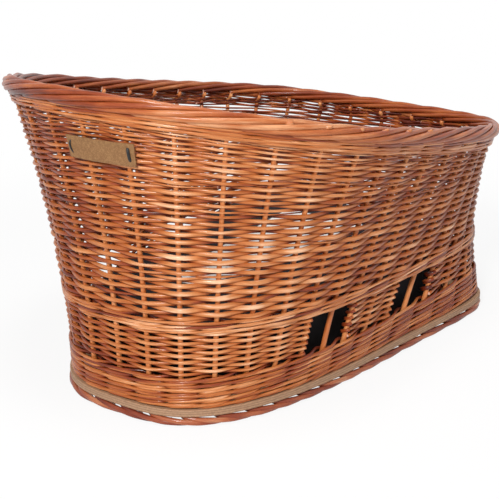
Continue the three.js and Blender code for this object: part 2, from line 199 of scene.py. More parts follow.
# %% Helpers for materials


def linear(hex_colour):
    parts = [int(hex_colour[i:i + 2], 16) / 255 for i in (1, 3, 5)]
    return tuple(c / 12.92 if c <= 0.04045 else ((c + 0.055) / 1.055) ** 2.4 for c in parts) + (1.0,)


def add_node(tree, kind, inputs=None, **settings):
    node = tree.nodes.new("ShaderNode" + kind)
    for name, value in settings.items():
        setattr(node, name, value)
    for name, value in (inputs or {}).items():
        if isinstance(value, bpy.types.NodeSocket):
            tree.links.new(value, node.inputs[name])
        else:
            node.inputs[name].default_value = value
    return node


def new_material(name, constants):
    """A material whose surface has these constants, such as its roughness"""
    material = bpy.data.materials.new(name)
    material.use_nodes = True
    surface = material.node_tree.nodes["Principled BSDF"]
    for socket, value in constants.items():
        surface.inputs[socket].default_value = value
    return material, material.node_tree, surface


def maths(tree, operation, first, second=0.0, **settings):
    return add_node(tree, "Math", {0: first, 1: second}, operation=operation,
                    **settings).outputs[0]


def object_place(tree):
    return add_node(tree, "TexCoord").outputs["Object"]


def noise(tree, place, per_metre, detail=2.0, roughness=0.5, distortion=0.0):
    """Noise with so many lumps to the metre, or with a number of its own along each axis"""
    if isinstance(per_metre, tuple):
        stretched = add_node(tree, "Mapping", {"Vector": place, "Scale": per_metre})
        place, per_metre = stretched.outputs["Vector"], 1.0
    return add_node(tree, "TexNoise", {
        "Vector": place, "Scale": per_metre, "Detail": detail, "Roughness": roughness,
        "Distortion": distortion}).outputs["Fac"]


def colour_ramp(tree, factor, stops):
    ramp = add_node(tree, "ValToRGB", {"Fac": factor})
    while len(ramp.color_ramp.elements) < len(stops):
        ramp.color_ramp.elements.new(0.5)
    for element, (place, colour) in zip(ramp.color_ramp.elements, stops):
        element.position = place
        element.color = linear(colour)
    return ramp.outputs["Color"]


def paint(tree, surface, factor, stops):
    tree.links.new(colour_ramp(tree, factor, stops), surface.inputs["Base Color"])


def bump_up(tree, surface, height, strength, distance):
    bump = add_node(tree, "Bump", {
        "Height": height, "Strength": strength, "Distance": distance})
    tree.links.new(bump.outputs["Normal"], surface.inputs["Normal"])


print("varnish is", linear("#b8672f")[:3], "in linear light for the hex colour #b8672f")

# %% [markdown]
# Willow for baskets is boiled and stripped of its bark, which leaves a smooth, honey to red-brown skin
# with faint streaks along the rod, and then varnished. Each rod carries a tint of its own, stored on
# its points, and its streaks are noise that is stretched along it: about 25 mm long and 1.5 mm wide,
# coarser than real ones, so that they show. The varnish is a thin clear coat.

# %% Varnished willow
STREAK_LONG, STREAK_WIDE = 25 * MM, 1.5 * MM
STREAKS_PER_METRE = (1 / STREAK_LONG, 1 / STREAK_WIDE, 1 / STREAK_WIDE)
BLOTCHES_PER_METRE = (18, 60, 60)
STREAK_STRENGTH, BLOTCH_STRENGTH = 0.8, 0.9
SMOOTHEST, ROUGHEST = 0.39, 0.55


def willow(name, stops):
    material, tree, surface = new_material(name, {
        "Coat Weight": 0.42, "Coat Roughness": 0.18, "IOR": 1.5, "Specular IOR Level": 0.15})
    tint = add_node(tree, "Attribute", attribute_name="tint").outputs["Fac"]
    grain = add_node(tree, "Attribute", attribute_name="grain").outputs["Vector"]
    streaks = noise(tree, grain, STREAKS_PER_METRE, 3.0, 0.6)
    blotches = noise(tree, grain, BLOTCHES_PER_METRE)
    spread = maths(tree, "MULTIPLY", maths(tree, "ADD", streaks, -0.5), STREAK_STRENGTH)
    wide = maths(tree, "MULTIPLY", maths(tree, "ADD", blotches, -0.5), BLOTCH_STRENGTH)
    both = maths(tree, "ADD", spread, wide)
    paint(tree, surface, maths(tree, "ADD", tint, both, use_clamp=True), stops)
    gloss = add_node(tree, "MapRange", {
        "Value": streaks, "To Min": SMOOTHEST, "To Max": ROUGHEST})
    tree.links.new(gloss.outputs["Result"], surface.inputs["Roughness"])
    bump_up(tree, surface, streaks, 0.25, 0.2 * MM)
    return material


# The weavers' palest, pinkish stops are a painted highlight, reached where a rod bulges outside at the
# front
weaver_willow = willow("varnished_willow_weavers", [
    (0.0, "#561a09"), (0.25, "#8d3c19"), (0.5, "#b8672f"), (0.75, "#d58c56"), (1.0, "#f4c39b")])
# The stakes' colours are painted paler than the weavers', as painted light where the rods in front of
# them shade them
stake_willow = willow("varnished_willow_stakes", [
    (0.0, "#96451e"), (0.35, "#c06d37"), (0.7, "#d78c54"), (1.0, "#ecb486")])
border_willow = willow("varnished_willow_borders", [
    (0.0, "#5c1f0c"), (0.3, "#91401c"), (0.6, "#b76736"), (1.0, "#e2a77a")])
foot_willow = willow("varnished_willow_foot", [
    (0.0, "#611f0f"), (0.35, "#8f4228"), (0.7, "#b36642"), (1.0, "#d39a75")])
print("willow materials:", len(bpy.data.materials))

# %% [markdown]
# A rod that is cut across shows its pale wood. The cut faces are too small for more than a colour.

# %% Cut ends
cut_wood, tree, surface = new_material("cut_willow_end", {"Roughness": 0.7})
fibre = noise(tree, object_place(tree), 1400.0)
paint(tree, surface, fibre, [(0.3, "#c78f74"), (0.7, "#ecc3ad")])
print("made", cut_wood.name)

# %% [markdown]
# The base board is thin plywood. On its edge, the tan band round the foot, the plies show as fine level
# lines about a millimetre apart. The faces show long grain along the board.

# %% Plywood
PLY = 1.1 * MM
plywood, tree, surface = new_material("sanded_plywood", {"Roughness": 0.62})
place = object_place(tree)
height = add_node(tree, "SeparateXYZ", {"Vector": place}).outputs["Z"]
wobble = maths(tree, "MULTIPLY", noise(tree, place, 60.0), 0.5 * MM)
turns = maths(tree, "MULTIPLY", maths(tree, "ADD", height, wobble), TURN / (2 * PLY))
plies = add_node(tree, "MapRange", {"Value": maths(tree, "SINE", turns), "From Min": -1.0})
grain = noise(tree, place, (40, 900, 500), 4.0, 0.6)
mixed = add_node(tree, "Mix", {0: 0.3, 2: grain, 3: plies.outputs["Result"]}).outputs[0]
paint(tree, surface, mixed, [(0.2, "#84624a"), (0.5, "#a37e60"), (0.8, "#bb9878")])
bump_up(tree, surface, mixed, 0.4, 0.25 * MM)
print("made", plywood.name)

# %% [markdown]
# The small patch is vegetable-tanned leather, left natural: matt, tan and finely pebbled, a little
# darker in its hollows. Two stitches of thick black thread hold it.

# %% Leather and thread
PEBBLE = 0.7 * MM
leather, tree, surface = new_material("natural_tan_leather", {"Roughness": 0.75})
place = object_place(tree)
pebbles = add_node(tree, "TexVoronoi", {
    "Vector": place, "Scale": 1 / PEBBLE}).outputs["Distance"]
clouds = noise(tree, place, 420.0, 5.0)
mixed = add_node(tree, "Mix", {0: 0.6, 2: pebbles, 3: clouds}).outputs[0]
paint(tree, surface, mixed, [(0.3, "#77502d"), (0.5, "#8a623a"), (0.7, "#9c754a")])
bump_up(tree, surface, pebbles, 0.35, 0.15 * MM)

thread, tree, surface = new_material("waxed_black_thread", {"Roughness": 0.55})
twist = add_node(tree, "TexWave", {
    "Vector": object_place(tree), "Scale": 900.0, "Distortion": 1.0}, bands_direction="DIAGONAL")
paint(tree, surface, twist.outputs["Fac"], [(0.0, "#0b0a0b"), (1.0, "#2a2726")])
print("made", leather.name, "and", thread.name)

# %% [markdown]
# The cushion is black woven nylon with a panel of pale fleece sewn into its top. The nylon is a plain
# weave, drawn here as two crossed waves 1.6 mm apart, coarser than the real thread so that it can show.
# The fleece has no weave: it is soft curls about 5 mm across, with a faint velvet sheen. Each point of
# the cushion carries its pile, 1 on the panel and 0 on the nylon, and the colour changes between them.

# %% Nylon and fleece
THREAD_SPACING = 1.6 * MM
nylon, tree, surface = new_material("black_woven_nylon", {
    "Roughness": 0.7, "Specular IOR Level": 0.15, "Sheen Weight": 0.05})
parts = add_node(tree, "SeparateXYZ", {"Vector": object_place(tree)}).outputs
sideways = maths(tree, "ADD", parts["X"], parts["Y"])
warp, weft = (maths(tree, "SINE", maths(tree, "MULTIPLY", run, TURN / THREAD_SPACING))
              for run in (sideways, parts["Z"]))
raised = add_node(tree, "MapRange", {
    "Value": maths(tree, "MULTIPLY", warp, weft), "From Min": -1.0}).outputs["Result"]
paint(tree, surface, raised, [(0.0, "#070708"), (1.0, "#18161a")])
bump_up(tree, surface, raised, 0.4, 0.2 * MM)

CURL = 5 * MM
fleece, tree, surface = new_material("pale_curly_fleece", {"Roughness": 0.95, "Sheen Weight": 0.1})
curls = noise(tree, object_place(tree), 1 / CURL, 4.0, 0.65, 1.2)
curl_colour = colour_ramp(tree, curls, [(0.3, "#ece6dc"), (0.5, "#f8f5ef"), (0.75, "#ffffff")])
pile = add_node(tree, "Attribute", attribute_name="pile").outputs["Fac"]
ragged = add_node(tree, "MapRange", {"Value": pile, "From Min": 0.35, "From Max": 0.65})
sewn = add_node(tree, "Mix", {
    0: ragged.outputs["Result"], 6: linear("#0e0d0f"), 7: curl_colour}, data_type="RGBA")
tree.links.new(sewn.outputs[2], surface.inputs["Base Color"])
bump_up(tree, surface, curls, 0.9, 2.0 * MM)
print("materials:", [m.name for m in bpy.data.materials])

# %% [markdown]
# A rod is a path with a thickness. A curve's bevel sweeps a round section along it, and each point can
# have its own radius, so that a rod tapers. All rods of a course become one mesh, which then gets two
# attributes: the rod's tint, and a grain coordinate that runs along the rod and round it, so that the
# streaks follow every bend.

# %% Rods swept along their paths
GRAIN_RADIUS, GRAIN_SHIFT = 1.5 * MM, 0.73


def piece_from(shape, name, material=None):
    mesh = bpy.data.meshes.new(name)
    shape.to_mesh(mesh)
    shape.free()
    if material:
        mesh.materials.append(material)
    return link_piece(name, mesh)


def make_rods(name, rods, material, bevel=2, cut=cut_wood):
    """Sweeps rods of 8 sides, or 10 for a bevel of 3, into one mesh with its cut faces marked"""
    curve = bpy.data.curves.new(name, "CURVE")
    curve.dimensions = "3D"
    curve.bevel_depth = 1.0
    curve.bevel_resolution = bevel
    curve.use_fill_caps = True
    for rod in rods:
        path = np.asarray(rod["path"]) * MM
        spline = curve.splines.new("POLY")
        spline.points.add(len(path) - 1)
        spline.points.foreach_set("co", np.hstack([path, np.ones((len(path), 1))]).ravel())
        radius = np.broadcast_to(np.asarray(rod["radius"], dtype=float) * MM, len(path))
        spline.points.foreach_set("radius", np.ascontiguousarray(radius))
        spline.use_cyclic_u = rod.get("ring", False)
    swept = link_piece(name, curve)
    graph = bpy.context.evaluated_depsgraph_get()
    mesh = bpy.data.meshes.new_from_object(swept.evaluated_get(graph))
    bpy.data.objects.remove(swept)
    piece = link_piece(name, mesh)
    sides = 2 * bevel + 4
    caps = 2 * sum(not rod.get("ring") for rod in rods)
    is_cut = np.arange(len(mesh.polygons)) < caps * (sides - 2)
    mesh.materials.clear()
    mesh.materials.append(material)
    if cut:
        mesh.materials.append(cut)
    mesh.polygons.foreach_set("use_smooth", ~is_cut)
    mesh.polygons.foreach_set("material_index", (is_cut & bool(cut)).astype(np.int32))
    label_rods(mesh, rods, sides, caps * sides)
    join_caps(mesh, rods, sides, caps * sides)
    triangles = sum(len(p.vertices) - 2 for p in mesh.polygons)
    print(f"{name}: {len(rods)} rods, {triangles} triangles")
    return piece


def label_rods(mesh, rods, sides, cap_points):
    """Tint and grain of each point; the points of the cut faces come first in a swept mesh"""
    tint, grain = [np.zeros(cap_points)], [np.zeros((cap_points, 3))]
    around = np.arange(sides) * TURN / sides
    for number, rod in enumerate(rods):
        path = np.asarray(rod["path"]) * MM
        steps = np.linalg.norm(np.diff(path, axis=0), axis=1)
        along = np.concatenate([[0], np.cumsum(steps)]) + number * GRAIN_SHIFT
        grain.append(np.stack([np.repeat(along, sides),
                               np.tile(GRAIN_RADIUS * np.cos(around), len(path)),
                               np.tile(GRAIN_RADIUS * np.sin(around), len(path))], axis=1))
        tint.append(np.repeat(np.broadcast_to(rod["tint"], len(path)), sides))
    grain, tint = np.concatenate(grain), np.concatenate(tint)
    mesh.attributes.new("tint", "FLOAT", "POINT").data.foreach_set("value", tint)
    mesh.attributes.new("grain", "FLOAT_VECTOR", "POINT").data.foreach_set("vector", grain.ravel())


def join_caps(mesh, rods, sides, cap_points):
    """Joins each cut face to its rod, so that a rod is one closed body"""
    shape = bmesh.new()
    shape.from_mesh(mesh)
    shape.verts.ensure_lookup_table()
    verts = list(shape.verts)
    starts = cap_points + sides * np.concatenate([[0], np.cumsum([len(r["path"]) for r in rods])])
    cap, joined = 0, {}
    for number in reversed(range(len(rods))):
        if rods[number].get("ring"):
            continue
        for ring in (starts[number + 1] - sides, starts[number]):
            for step in range(sides):
                joined[verts[cap + step]] = verts[ring + step]
            cap += sides
    farthest = max(((a.co - b.co).length for a, b in joined.items()), default=0)
    print(f"  cut faces joined over at most {farthest / MM:.4f} mm")
    bmesh.ops.weld_verts(shape, targetmap=joined)
    shape.to_mesh(mesh)
    shape.free()


def finish_piece(piece, slot, *nodes, body="basket"):
    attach(piece, body)
    if nodes:
        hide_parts(*nodes)


def lay_rods(name, rods, material, slot, *nodes, **settings):
    finish_piece(make_rods(name, rods, material, **settings), slot, *nodes)


# %% [markdown]
# Chance has a fixed start, so each run draws the same basket: a tint for each rod, and a slow, uneven
# wander of its height. As in the photograph, the front of the round end is the palest part of the wall,
# and its far left and the hidden side are the darkest. This light and shade is painted into the tint by
# place: painted light at the front, and painted shade at the far left and on the hidden side.

# %% Chance and tint
random = np.random.RandomState(7)
# Painted light and shade: tint added at each place round the wall, raised at the front and lowered at
# the far left and the hidden side
PAINTED_LIGHT_PLACES = [-2, 0, 2, 5, 7, 14, 18, 24, 33, 34]
PAINTED_LIGHT_TINT = [-0.2, -0.08, 0.08, 0.08, -0.03, -0.11, -0.1, -0.1, -0.12, -0.2]


def some_tint(spread=0.1):
    return float(np.clip(random.normal(0.5, spread), 0.05, 0.95))


def in_range(tint):
    return np.clip(tint, 0.02, 0.98)


def gentle_noise(places, size):
    first, second = random.uniform(0, TURN, 2)
    slow, quick = random.uniform(0.5, 0.9), random.uniform(1.6, 2.6)
    return size * (0.6 * np.sin(places * slow + first) + 0.4 * np.sin(places * quick + second))


def once_round(places):
    """The same places, counted in stakes from -2 to 34 past the round end's tip"""
    return np.mod(places + 2, STAKES) - 2


# Painted light and shade by place: the tint added at these places round the wall
def painted_light_by_place(places):
    return np.interp(once_round(places), PAINTED_LIGHT_PLACES, PAINTED_LIGHT_TINT)


def far_side(places):
    """1 along the left side, where the photograph looks at the wall's inside, and 0 elsewhere"""
    return np.clip(np.sin(TURN * (places - HALF_ROUND) / STAKES) * 2, 0, 1)


print("tint added at the front and at the hidden side:", round(painted_light_by_place(3), 2), round(painted_light_by_place(20), 2))

# %% [markdown]
# The stakes are the basket's bones, rods about 5 mm thick that stand in holes near the board's edge.
# They rise in the middle of the wall, and each thins a little towards its top, where it bends inwards
# to let the border's rods roll over it. In the strap windows they stand bare.

# %% Stakes
STAKE_RADIUS, STAKE_TOP_RADIUS = 2.5, 2.05
SWAY, MM_ROUND_RIM = 0.5, 1455
BENT_TOP = [(10.6, 1.0), (8.8, 4.2), (7.4, 6.2), (5.6, 5.8)]


def stake_rod(number):
    share = float(stake_share(number - 1))
    top = float(rim_height(share))
    below_rim, inwards = np.transpose(BENT_TOP)
    heights = np.concatenate([[BOARD_UNDERSIDE], np.linspace(BOARD_TOP, top - 14, 18),
                              top - below_rim])
    inwards = np.concatenate([np.zeros(19), inwards])
    sway = SWAY * np.sin(np.linspace(0, 5, len(heights)) + number)
    shares = share + sway * np.clip((heights - 20) / 60, 0, 1) / MM_ROUND_RIM
    radius = np.linspace(STAKE_RADIUS, STAKE_TOP_RADIUS, len(heights))
    return {"path": wall_point(shares, heights, -inwards), "radius": radius, "tint": some_tint()}


lay_rods("stakes", [stake_rod(n) for n in range(1, STAKES + 1)], stake_willow, "stake_willow",
         *[f"stake_{n:02d}" for n in range(1, STAKES + 1)], bevel=3)

# %% [markdown]
# Randing is the plainest weave: one rod in front of a stake and behind the next. Seen from above, a rod
# is a wave with a crest at every second stake, and the row above it is the same wave turned round. The
# wave would be as high as the stake's radius plus the rod's if willow didn't give. A tight weave
# presses each rod against its stake, and the wave is three quarters of that. The rows lie close, so a
# rod is as thick as its row, which is thick low down and thin under the rim.

# %% Randing
STEPS_PER_SPACE = 6
PRESSED = 0.76
ROW_WANDER = 0.4
TUCK_SPACES, TUCK_IN = 0.5, 2.4


def weave_wave(places):
    """1 outside a stake and -1 inside the next one, and nearly straight between the two"""
    angle = math.pi * places
    return (np.cos(angle) + 0.09 * np.cos(3 * angle)) / 1.09


def woven_tint(places, row):
    """Painted light and shade: a rod is painted paler where it bulges outside and darker where it passes
    inside, out of the light, and the painted light of its place is added
    """
    tone_shift = painted_light_by_place(places)
    # Painted light on the outer bulges, painted shade on the inner passes, and painted light and shade
    # by place
    return in_range(some_tint(0.09) - 0.06 + (0.24 + 0.6 * tone_shift) * weave_wave(places + row) + tone_shift)


def woven_path(places, heights, radius, row):
    heights = heights + gentle_noise(places, ROW_WANDER)
    swing = PRESSED * (STAKE_RADIUS + radius) * weave_wave(places + row)
    return wall_point(stake_share(places), heights, swing)


def tucked_ends(path, places):
    """Leads both ends of a rod inwards, behind the stake that each one leans on"""
    inner = -outward_at(rim_line, stake_share(places))
    for end in (places[0], places[-1]):
        near = np.clip(1 - np.abs(places - end) / TUCK_SPACES, 0, 1)
        path[:, :2] += inner * (near ** 2 * TUCK_IN)[:, None]
    return path


print("weave's wave at a stake and half way on:", weave_wave(0), round(weave_wave(0.5), 3))

# %% [markdown]
# Because the rim falls, the upper wall has half as many rows at the squared end as at the round end:
# here 30 and 60, a few more than the photograph shows at the round end. Willow rods taper, so a weaver
# lets some of them run out on the way: a pair of rows thins to its tips and ends behind a stake, and its
# neighbours close up over it. Golden steps spread these pairs over the wall without a pattern, more of
# them near the top, where the photograph shows the rows leaning most.

# %% Upper wall's rows
MEAN_ROW = 2.9
THICK_AT_FOOT, THIN_AT_TOP = 1.22, 0.76
TOP_PART, THINNER_AT_TOP, THICKER_AT_FAR_TOP = 0.7, 0.3, 0.3
TIP_THICKNESS, TAPER_SPACES, TIP_SPACES = 0.3, 4.5, 0.7
GOLDEN_STEP, FIRST_STEP, DENSER_AT_TOP = 0.618034, 0.2, 0.6
NEVER = 99


low_at_stake, high_at_stake = course_span("upper_randing", stake_share(np.arange(STAKES)))
pairs_at_stake = np.round((high_at_stake - low_at_stake) / (2 * MEAN_ROW)).astype(int)
all_pairs, fewest_pairs = int(pairs_at_stake[0]), int(pairs_at_stake[HALF_ROUND])
print("pairs of rows, most and fewest:", all_pairs, fewest_pairs)


def pairs_that_run_out():
    """Pairs in the order in which they run out, spread over the wall and denser towards the top"""
    left, order = list(range(1, all_pairs - 1)), []
    step = FIRST_STEP
    while len(order) < all_pairs - fewest_pairs:
        step = (step + GOLDEN_STEP) % 1
        nearest = min(left, key=lambda pair: abs(pair - all_pairs * step ** DENSER_AT_TOP))
        left.remove(nearest)
        order.append(nearest)
    return order


last_stake = {pair: NEVER for pair in range(all_pairs)}
for turn, pair in enumerate(pairs_that_run_out()):
    still_there = [n for n in range(HALF_ROUND + 1) if all_pairs - pairs_at_stake[n] <= turn]
    last_stake[pair] = max(still_there)


def thickness(pair, places):
    """Thickness of a pair, as a share of the mean, at places counted from the round end's tip"""
    rise, far = pair / (all_pairs - 1), far_side(places)
    near_top = max(0, rise - TOP_PART) / (1 - TOP_PART)
    base = THICK_AT_FOOT + (THIN_AT_TOP - THICK_AT_FOOT) * rise
    base = base + near_top * (THICKER_AT_FAR_TOP * far - THINNER_AT_TOP * (1 - far))
    away = np.abs((places + STAKES / 2) % STAKES - STAKES / 2)
    left = last_stake[pair] - away
    tapered = np.clip(TIP_THICKNESS + (1 - TIP_THICKNESS) * left / TAPER_SPACES, TIP_THICKNESS, 1)
    return base * tapered * np.clip(1 + left / TIP_SPACES, 0, 1)


# %% [markdown]
# A weave is never even. The last pairs under the far rim are slack, and in four spots of the near wall
# the rows were beaten down less, so slits of light show there. Elsewhere the rods fill their rows.

# %% Slack in the upper wall
# Each spot's stake and height, and how far it reaches, in stakes and in mm
SLACK_SPOTS = [(1.1, 150, 0.35, 42), (0.4, 118, 0.6, 8), (3.0, 195, 0.35, 30), (4.2, 205, 0.35, 16)]
SPOT_SLACK, FAR_TOP_SLACK = 0.42, 0.38
SLACK_PAIRS, SLACK_SPREAD = 7, 4
OPEN_HEIGHT, OPEN_BAND = 185, 20


def looseness(pair, places, heights):
    """How full a rod is: below 1 where slits show, and above it where the rows are packed"""
    far, around = far_side(places), once_round(places)
    slack = FAR_TOP_SLACK * np.clip((pair - (all_pairs - SLACK_PAIRS)) / SLACK_SPREAD, 0, 1) * far
    packed = 0.05 + 0.06 * np.clip(np.abs(heights - OPEN_HEIGHT) / OPEN_BAND, 0, 1)
    slack = slack - packed * (1 - far)
    for stake, height, wide, high in SLACK_SPOTS:
        spread = ((around - stake) / wide) ** 2 + ((heights - height) / high) ** 2
        slack = slack + SPOT_SLACK * np.exp(-spread)
    return 1 - slack


def row_of(pair, upper, places):
    """Heights and radius along one row: its pair's thickness comes on top of all those below it"""
    share = np.array([thickness(k, places) for k in range(all_pairs)])
    below = share[:pair].sum(axis=0) + share[pair] * (0.75 if upper else 0.25)
    low, high = course_span("upper_randing", stake_share(places))
    unit = (high - low) / share.sum(axis=0)
    heights = low + below * unit
    return heights, share[pair] * unit / 4 * looseness(pair, places, heights)


for pair in (0, all_pairs - 1):
    heights, radius = row_of(pair, False, np.array([0.0, HALF_ROUND]))
    print("rod radius in mm at the round and squared end:", np.round(radius, 2))

# %% [markdown]
# A row that goes all the way round is laid as two rods, each as long as a real one. A rod starts and
# ends on the inside, behind a stake, where its end leans against the stake, and the next one starts
# beside it.

# %% Rods of the upper wall


def row_rod(pair, upper, first, last):
    row = 2 * pair + (1 if upper else 0)
    places = np.linspace(first - 0.35, last + 0.35, int((last - first + 0.7) * STEPS_PER_SPACE) + 1)
    heights, radius = row_of(pair, upper, places)
    radius = radius * random.uniform(0.9, 1.12) * np.linspace(1.05, 0.95, len(places))
    path = tucked_ends(woven_path(places, heights, radius, row), places)
    return {"path": path, "radius": radius, "tint": woven_tint(places, row)}


def behind_a_stake(stake, row):
    """The nearest stake at or below this one that a row passes on the inside"""
    return stake if (stake + row) % 2 == 1 else stake - 1


upper_rods = []
for pair in range(all_pairs):
    for upper in (False, True):
        row = 2 * pair + (1 if upper else 0)
        reach = last_stake[pair]
        if reach < HALF_ROUND:
            last = behind_a_stake(reach, row)
            upper_rods.append(row_rod(pair, upper, -last, last))
            continue
        first = behind_a_stake(random.randint(0, STAKES), row)
        for half in (0, HALF_ROUND):
            upper_rods.append(row_rod(pair, upper, first + half, first + half + HALF_ROUND))
lay_rods("upper_randing_rods", upper_rods, weaver_willow, "woven_willow", "upper_randing")

# %% [markdown]
# Between the strap windows the lower wall is four short panels. Here one rod goes to and fro, and
# wraps round the last stake at each end before it comes back, which gives the windows their lumpy,
# corded sides. The tint changes from row to row, because each rod lasts only a row or two.

# %% Lower panels
PANEL_ROW = 3.0
SPACE_AT_PANELS = 36
# The third value is a dark tint, 0.3, that caps the loops round the jamb stakes, as painted shade
LOOP_REACH, LOOP_FULLNESS, LOOP_SHADE_TINT = 0.45, 1.2, 0.3
# The first and last stake of each panel; stake 37 is stake 1 again
PANELS = {
    "lower_panel_right": (9, 11),
    "lower_panel_square_end": (13, 25),
    "lower_panel_left": (27, 29),
    "lower_panel_round_end": (31, 43),
}


def turn_round(stake, low, high, radius, row, onwards):
    """The loop of a rod round a jamb stake, from one row up to the next"""
    side = 1 if round(math.cos(math.pi * (stake + row))) > 0 else -1
    angles = np.linspace(0, math.pi, 7)[1:-1]
    swing = STAKE_RADIUS + radius
    places = stake + onwards * LOOP_REACH * swing * np.sin(angles) / SPACE_AT_PANELS
    heights = low + (high - low) * (1 - np.cos(angles)) / 2
    return wall_point(stake_share(places), heights, side * swing * np.cos(angles))


def panel_rod(first, last):
    foot, middle = course_span("lower_panel", stake_share((first + last) / 2 - 1))
    rows = int(round((float(middle) - 0.3 - foot) / PANEL_ROW))
    rod = {"path": [], "radius": [], "tint": []}
    for row in range(rows):
        places = np.linspace(first - 1, last - 1, (last - first) * STEPS_PER_SPACE + 1)
        pitch = (course_span("lower_panel", stake_share(places))[1] - foot) / rows
        radius = pitch / 2 * random.uniform(0.88, 1.08)
        laid = woven_path(places, foot + (row + 0.5) * pitch, radius, row)
        onwards = 1 if row % 2 == 0 else -1
        laid, radius = laid[::onwards], radius[::onwards]
        tint = woven_tint(places, row)[::onwards]
        if row < rows - 1:
            end, rise = (last - 1, pitch[-1]) if onwards > 0 else (first - 1, pitch[0])
            turn = turn_round(end, laid[-1, 2], foot + (row + 1.5) * rise, radius[-1], row, onwards)
            laid = np.concatenate([laid, turn])
            radius = np.append(radius, np.full(len(turn), radius[-1] * LOOP_FULLNESS))
            # Painted shade: the loop round the jamb stake is no paler than the dark tint of 0.3
            tint = np.append(tint, np.full(len(turn), min(tint[-1], LOOP_SHADE_TINT)))
        for part, values in zip(rod.values(), (laid, radius, tint)):
            part.append(values)
    return {name: np.concatenate(parts) for name, parts in rod.items()}


for node, (first, last) in PANELS.items():
    lay_rods(node + "_rods", [panel_rod(first, last)], weaver_willow, "woven_willow", node)

# %% [markdown]
# Waling is the strong weave that locks the courses: three rods at once, each in front of two stakes
# and behind the third, so the wall outside shows slanting strokes that overlap like a rope's. Each rod
# is in its low place as it comes out from behind a stake and in its high place as it goes back in.

# %% Wales
# Each wale's rows, rod radius, slack on the far side and darkening
WALES = {
    "foot_wale": (6, 1.5, 0, 0.25),
    "mid_wale": (3, 1.25, 0, 0.24),
    "top_wale": (3, 1.35, 0.25, 0.22),
}
STRANDS = 3
SPACES_TO_COME_OUT = 0.85
STROKE, WALE_WANDER = 0.85, 0.7


def wale_rod(course, first, strand, row):
    rows, radius, slack, tone_shift = WALES[course]
    places = np.linspace(first - 0.3, first + HALF_ROUND + 0.3, HALF_ROUND * STEPS_PER_SPACE + 4)
    phase = np.mod(places - strand, STRANDS)
    behind = np.minimum(phase, STRANDS - phase)
    reach = STAKE_RADIUS + radius
    offset = -reach * np.cos(math.pi * np.clip(behind / SPACES_TO_COME_OUT, 0, 1))
    stroke = STROKE * np.interp(phase, [0, 0.3, 2.7, 3], [0, -0.5, 0.5, 0])
    share = stake_share(places)
    foot, top = course_span(course, share)
    heights = foot + (row + 0.5 + stroke) * (top - foot) / rows + gentle_noise(places, WALE_WANDER)
    path = tucked_ends(wall_point(share, heights, offset), places)
    full = radius * random.uniform(0.94, 1.05) * (1 - slack * far_side(places))
    # Painted light and shade: the rod is painted paler where it is outside and darker where it goes
    # behind a stake, and the place's painted light is added at half strength; each course is also darker
    # by its own amount
    tint = some_tint(0.15) - tone_shift + 0.28 * offset / reach + 0.5 * painted_light_by_place(places)
    return {"path": path, "radius": full, "tint": in_range(tint)}


for course, (rows, *rest) in WALES.items():
    rods = []
    for row in range(rows):
        for strand in range(STRANDS):
            start = strand + STRANDS * random.randint(0, 6)
            rods += [wale_rod(course, first, strand, row) for first in (start, start + HALF_ROUND)]
    lay_rods(course + "_rods", rods, weaver_willow, "woven_willow", course)

# %% [markdown]
# The rim is finished with the stakes' own tops. Each bends over, runs along the outside for about four
# stakes while it climbs, crosses the top and ends inside, where its cut end shows. So every rod of the
# border follows the same path, and 36 of them, each one stake further on, make the rolled edge. Half as
# many more lie inside the roll and fill it.

# %% Rim border
BORDER_ROD = 2.4
# Stakes passed, and the angle round the border's middle: -90 below, 0 outside, 90 on top, 180 inside
BORDER_TURN = [(0, -112), (0.5, -64), (1.1, -36), (1.7, -8), (2.3, 26), (2.9, 62), (3.5, 92),
               (4.3, 126), (5.2, 172), (6.0, 218)]
BORDER_CENTRE, FILLING_CENTRE = 5.0, 2.2
BORDER_SINKS = 1.2


def round_the_rim(share, reach, angle):
    """Places at this distance and angle from the middle of the border"""
    line = wall_point(share, rim_height(share))
    line[:, :2] += outward_at(rim_line, share) * (reach * np.cos(angle))[:, None]
    line[:, 2] += reach * np.sin(angle) - BORDER_SINKS
    return line


def rolled_rod(stake, centre):
    moments = np.linspace(BORDER_TURN[0][0], BORDER_TURN[-1][0], 34)
    angle = np.radians(np.interp(moments, *np.transpose(BORDER_TURN)))
    reach = centre + gentle_noise(moments, 0.3) + 0.8 * np.exp(-((moments - 3.4) / 0.35) ** 2)
    path = round_the_rim(stake_share(stake + moments), reach, angle)
    taper = np.linspace(1.04, 0.9, len(moments)) * random.uniform(0.95, 1.05)
    # Painted light and shade by place, 1.9 times as strong on the rim: painted light on its near front,
    # painted shade on its far left and hidden side
    tint = in_range(some_tint() - 0.02 + 1.9 * painted_light_by_place(stake + moments))
    return {"path": path, "radius": BORDER_ROD * taper, "tint": tint}


rim_rods = [rolled_rod(n, BORDER_CENTRE) for n in range(STAKES)]
rim_rods += [rolled_rod(n + 0.5, FILLING_CENTRE) for n in range(0, STAKES, 2)]
lay_rods("rim_border_rods", rim_rods, border_willow, "border_willow", "rim_border", bevel=3)

# %% [markdown]
# The cut tips of some of the border's rods stand out on its outer shoulder, towards the squared end.
# They are short and pale, and thinner than the rods beside them.

# %% Cut tips on the rim
TIP_PLACES = (4.2, 5.02, 5.8, 6.56, 7.5, 8.45)
TIP_RADIUS, TIP_ANGLE, TIP_TINT = 1.7, math.radians(52), 0.7


def tip_rod(place):
    share = stake_share(place + np.linspace(-0.1, 0.03, 4))
    path = round_the_rim(share, np.linspace(4.6, 6.9, 4), TIP_ANGLE)
    return {"path": path, "radius": TIP_RADIUS, "tint": TIP_TINT}


lay_rods("rim_tips", [tip_rod(place) for place in TIP_PLACES], border_willow, "border_willow", bevel=3)

